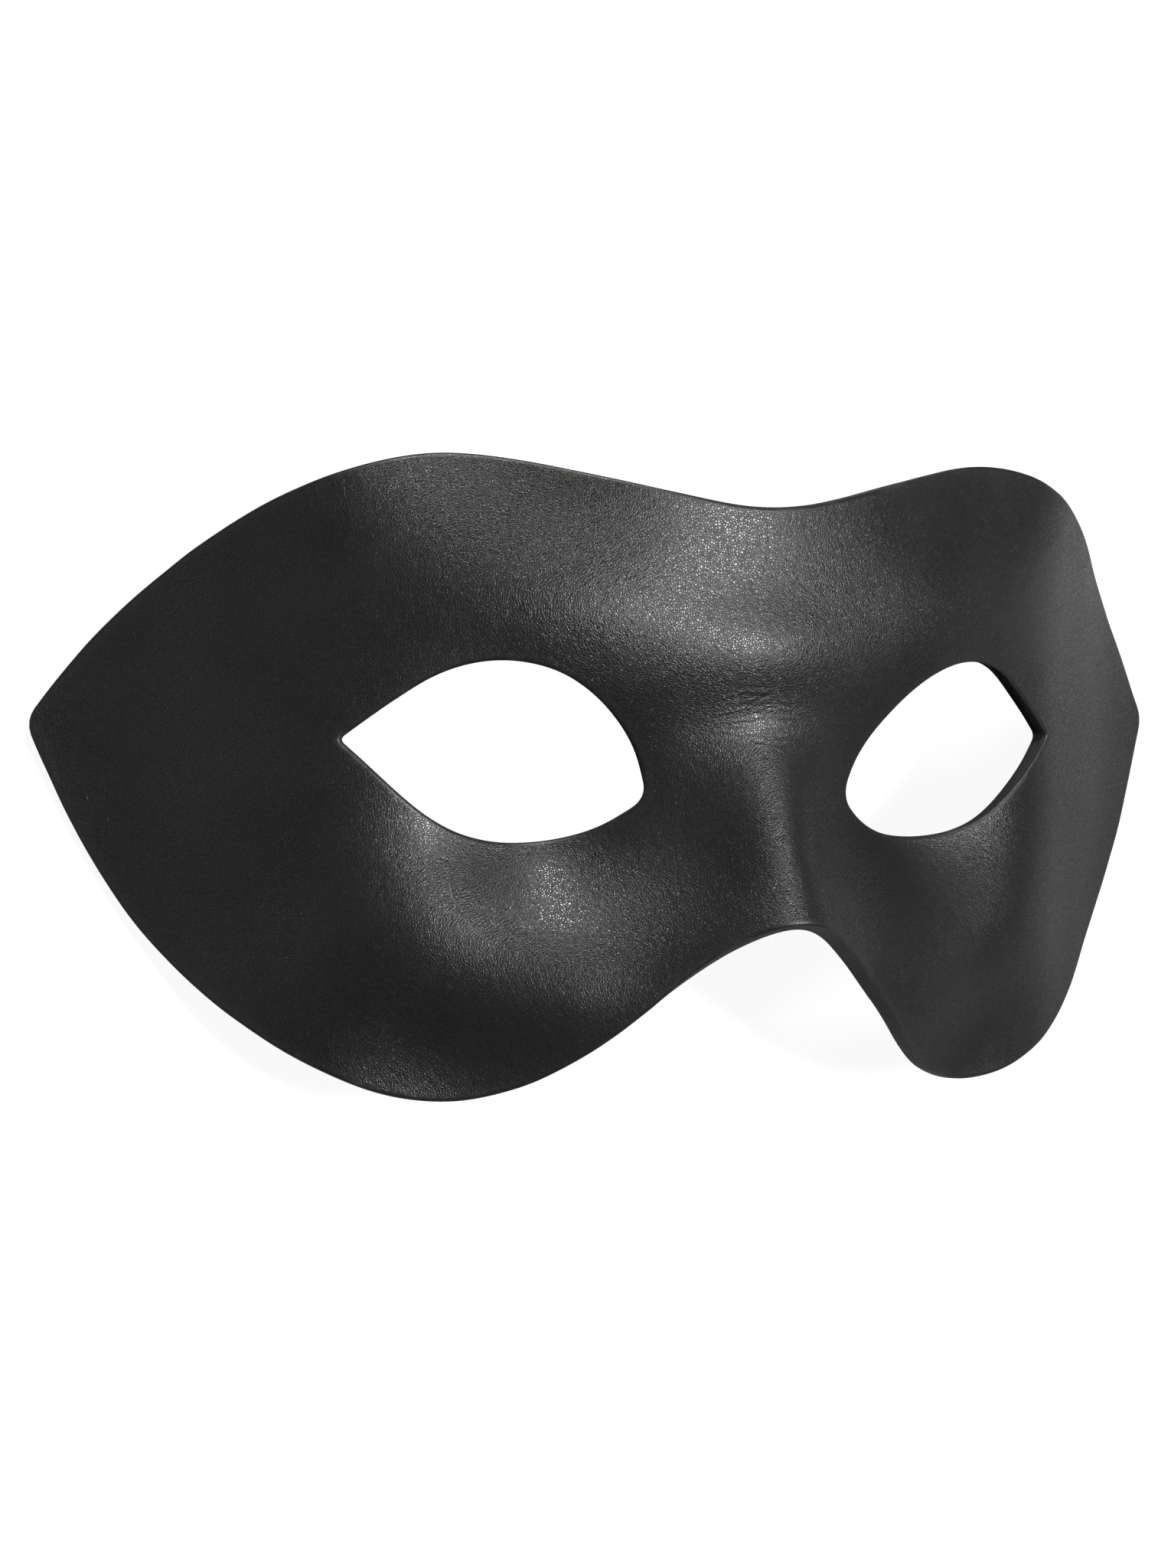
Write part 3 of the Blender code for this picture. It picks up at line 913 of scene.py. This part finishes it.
def work_over(target, tree, values):
    """Runs a tree on an object with its named values, and keeps the result as the object's plain mesh."""
    modifier = target.modifiers.new(tree.name, "NODES")
    modifier.node_group = tree
    sockets = {s.name: s.identifier for s in tree.interface.items_tree if s.in_out == "INPUT"}
    for name, value in values.items():
        modifier[sockets[name]] = value
    evaluated = target.evaluated_get(bpy.context.evaluated_depsgraph_get())
    worked = bpy.data.meshes.new_from_object(evaluated)
    target.modifiers.remove(modifier)
    target.data = worked


before = np.array([v.co for v in mask.data.vertices])
work_over(
    mask,
    hand_work_tree(),
    {
        "Crease lines": creases,
        "Grain side": finishes[GRAIN_SIDE],
        "Cut edge": finishes[CUT_EDGE],
        "Flesh side": finishes[FLESH_SIDE],
    },
)
bpy.data.objects.remove(creases)
after = np.array([v.co for v in mask.data.vertices])
print("hand work moved points by up to %.2f mm" % (np.linalg.norm(after - before, axis=1).max() / MM))
print("faces of each finish:", np.bincount([p.material_index for p in mask.data.polygons]).tolist())

# %% [markdown]
# ## Lying on the table
#
# Left to itself the mask lies face up on the rear edges of its temples, with the forehead a little raised,
# where its middle hangs lowest. The mesh itself is turned and moved, not the object, so the object stays
# at the origin and patterns on it don't slide. The leather flattens where it rests, so points that would
# dip under the table are set level with it.

# %% Turn, lower and flatten
LIES_BACK = math.radians(14.33)
REST_FLAT = 0.4  # how much the leather flattens
COMPARED = 37  # every so many points, one is compared with the solid

turned = Matrix.Rotation(LIES_BACK, 4, "X")
mask.data.transform(turned)
places = np.array([v.co for v in mask.data.vertices])
low, high = places.min(axis=0), places.max(axis=0)
cad_middle = (cad_bounds[0] + cad_bounds[1]) / 2
set_down = Vector((0, cad_middle.y - (low[1] + high[1]) / 2, -low[2] - REST_FLAT * MM))
places = places + np.array(set_down)
places[:, 2] = np.maximum(places[:, 2], 0)
mask.data.vertices.foreach_set("co", places.ravel())
mask.data.shade_smooth()
mask.data.update()

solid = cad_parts["mask"]
corners = [v.co for v in solid.data.vertices]
solid_faces = BVHTree.FromPolygons(corners, [p.vertices for p in solid.data.polygons])
apart = [solid_faces.find_nearest(Vector(p))[3] for p in places[::COMPARED]]
print("fine mask against the solid one: %.2f mm apart at most" % (max(apart) / MM))

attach(mask, "root")
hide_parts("mask")

# %% [markdown]
# ## Camera
#
# The mask was photographed from its right side, 28 degrees off its front, with a long lens. The camera is
# worked out in the mask's own frame, as worn, and then turned and set down with it.

# %% The photograph's camera
VIEW_YAW = math.radians(28.0)
VIEW_TILT = math.radians(-1.13)
VIEW_DISTANCE = 630.6
VIEW_ACROSS = 24.7  # how far the mask's middle lies right of the lens's axis
VIEW_UP = 8.4
FOCAL_LENGTH = 110.3
SENSOR = 36.0


def photo_camera():
    """The camera with its place and directions in the mask's frame, carried over to the table."""
    right = Vector((math.cos(VIEW_YAW), 0, math.sin(VIEW_YAW)))
    level = Vector((math.sin(VIEW_YAW), 0, -math.cos(VIEW_YAW)))
    up = math.cos(VIEW_TILT) * Vector((0, 1, 0)) - math.sin(VIEW_TILT) * level
    ahead = math.sin(VIEW_TILT) * Vector((0, 1, 0)) + math.cos(VIEW_TILT) * level
    place = -(VIEW_ACROSS * right + VIEW_UP * up + VIEW_DISTANCE * ahead) * MM
    facing = Matrix((right, up, -ahead)).transposed().to_4x4()
    data = bpy.data.cameras.new("photo_camera")
    data.lens = FOCAL_LENGTH
    data.sensor_width = SENSOR
    data.clip_start = 0.01
    camera = bpy.data.objects.new("photo_camera", data)
    bpy.context.scene.collection.objects.link(camera)
    camera.matrix_world = Matrix.Translation(set_down) @ turned @ Matrix.Translation(place) @ facing
    return camera


camera = photo_camera()
bpy.context.scene.camera = camera
look = camera.matrix_world.to_quaternion() @ Vector((0, 0, -1))
print("camera looks down at %.0f degrees" % math.degrees(math.asin(-look.z)))

# %% [markdown]
# ## Floor and light
#
# Black leather shows little but reflections, so what stands round it matters as much as what lights it.
# The floor is a plain pale sheet. To the camera it glows, as an opal light table does, so it stays pale in
# the eye openings too. A Light Path node keeps that glow from the leather, which would otherwise turn grey.

# %% Floor
FLOOR_SIZE = 6.0
FLOOR_GAP = 0.0001  # keeps the floor clear of the leather that rests on it
FLOOR_GREY = (0.22, 0.22, 0.22)
FLOOR_GLOW = 0.94


def pale_floor():
    bpy.ops.mesh.primitive_plane_add(size=FLOOR_SIZE, location=(0, 0, -FLOOR_GAP))
    floor = bpy.context.object
    floor.name = "floor"
    material = bpy.data.materials.new("pale_floor")
    material.use_nodes = True
    tree = material.node_tree
    shader = tree.nodes["Principled BSDF"]
    seen = add(tree, "ShaderNodeLightPath").outputs["Is Camera Ray"]
    tree.links.new(remapped(tree, seen, 0.0, 1.0, 0.0, FLOOR_GLOW), shader.inputs["Emission Strength"])
    shader.inputs["Base Color"].default_value = (*FLOOR_GREY, 1)
    shader.inputs["Roughness"].default_value = 0.8
    shader.inputs["Specular IOR Level"].default_value = 0.2
    shader.inputs["Emission Color"].default_value = (1.0, 1.0, 1.0, 1)
    floor.data.materials.append(material)
    return floor


pale_floor()
print("floor laid")

# %% [markdown]
# Three soft panels light the leather: a large one above draws the highlight on the forehead, a smaller one
# beyond the brow draws the one on the cheek, and a dim one lifts the nearer temple out of black. The
# farther temple reflects the floor beside it, so a lamp with a grid lights that patch of floor alone.

# %% Lights
WHITE = (1.0, 1.0, 1.0)
WARM_WHITE = (1.0, 0.995, 0.985)
PANELS = (
    # name, direction from the mask, distance, width, height, power, colour
    ("forehead", (0.31, -0.18, 0.93), 1.10, 0.26, 0.36, 12.5, WARM_WHITE),
    ("cheek", (-0.03, 0.65, 0.76), 1.20, 0.18, 0.18, 8.0, WARM_WHITE),
    ("left_side", (-0.97, -0.10, 0.22), 1.00, 0.50, 0.50, 0.60, WHITE),
)
FLOOR_LAMP_HEIGHT = 0.40
FLOOR_LAMP_SIZE = 0.08
FLOOR_LAMP_POWER = 0.10
FLOOR_LAMP_PLACE = (0.16, 0.06)  # over the patch of floor that the farther temple reflects
FLOOR_LAMP_SPREAD = 24  # degrees, which keep its light off the mask
REFLECTED_SKY = 0.015


def soft_panel(name, direction, distance, width, height, power, colour):
    """A soft light at a distance from the mask's middle, which it faces."""
    data = bpy.data.lights.new(name, "AREA")
    data.shape = "RECTANGLE"
    data.size, data.size_y = width, height
    data.energy = power
    data.color = colour
    panel = bpy.data.objects.new(name, data)
    bpy.context.scene.collection.objects.link(panel)
    ray = Vector(direction).normalized()
    panel.location = ray * distance
    panel.rotation_mode = "QUATERNION"
    panel.rotation_quaternion = (-ray).to_track_quat("-Z", "Y")
    return panel


for row in PANELS:
    soft_panel(*row)

floor_lamp = soft_panel(
    "floor_lamp", (0, 0, 1), FLOOR_LAMP_HEIGHT, FLOOR_LAMP_SIZE, FLOOR_LAMP_SIZE, FLOOR_LAMP_POWER, WHITE
)
floor_lamp.location.xy = FLOOR_LAMP_PLACE
floor_lamp.data.spread = math.radians(FLOOR_LAMP_SPREAD)

world = bpy.data.worlds.new("studio")
bpy.context.scene.world = world
world.use_nodes = True
sky = world.node_tree.nodes["Background"]
sky.inputs["Color"].default_value = (1, 1, 1, 1)
seen = add(world.node_tree, "ShaderNodeLightPath").outputs["Is Camera Ray"]
brightness = remapped(world.node_tree, seen, 0.0, 1.0, REFLECTED_SKY, 1.0)
world.node_tree.links.new(brightness, sky.inputs["Strength"])
bpy.context.scene.view_settings.view_transform = "Standard"
print("light panels:", [row[0] for row in PANELS])
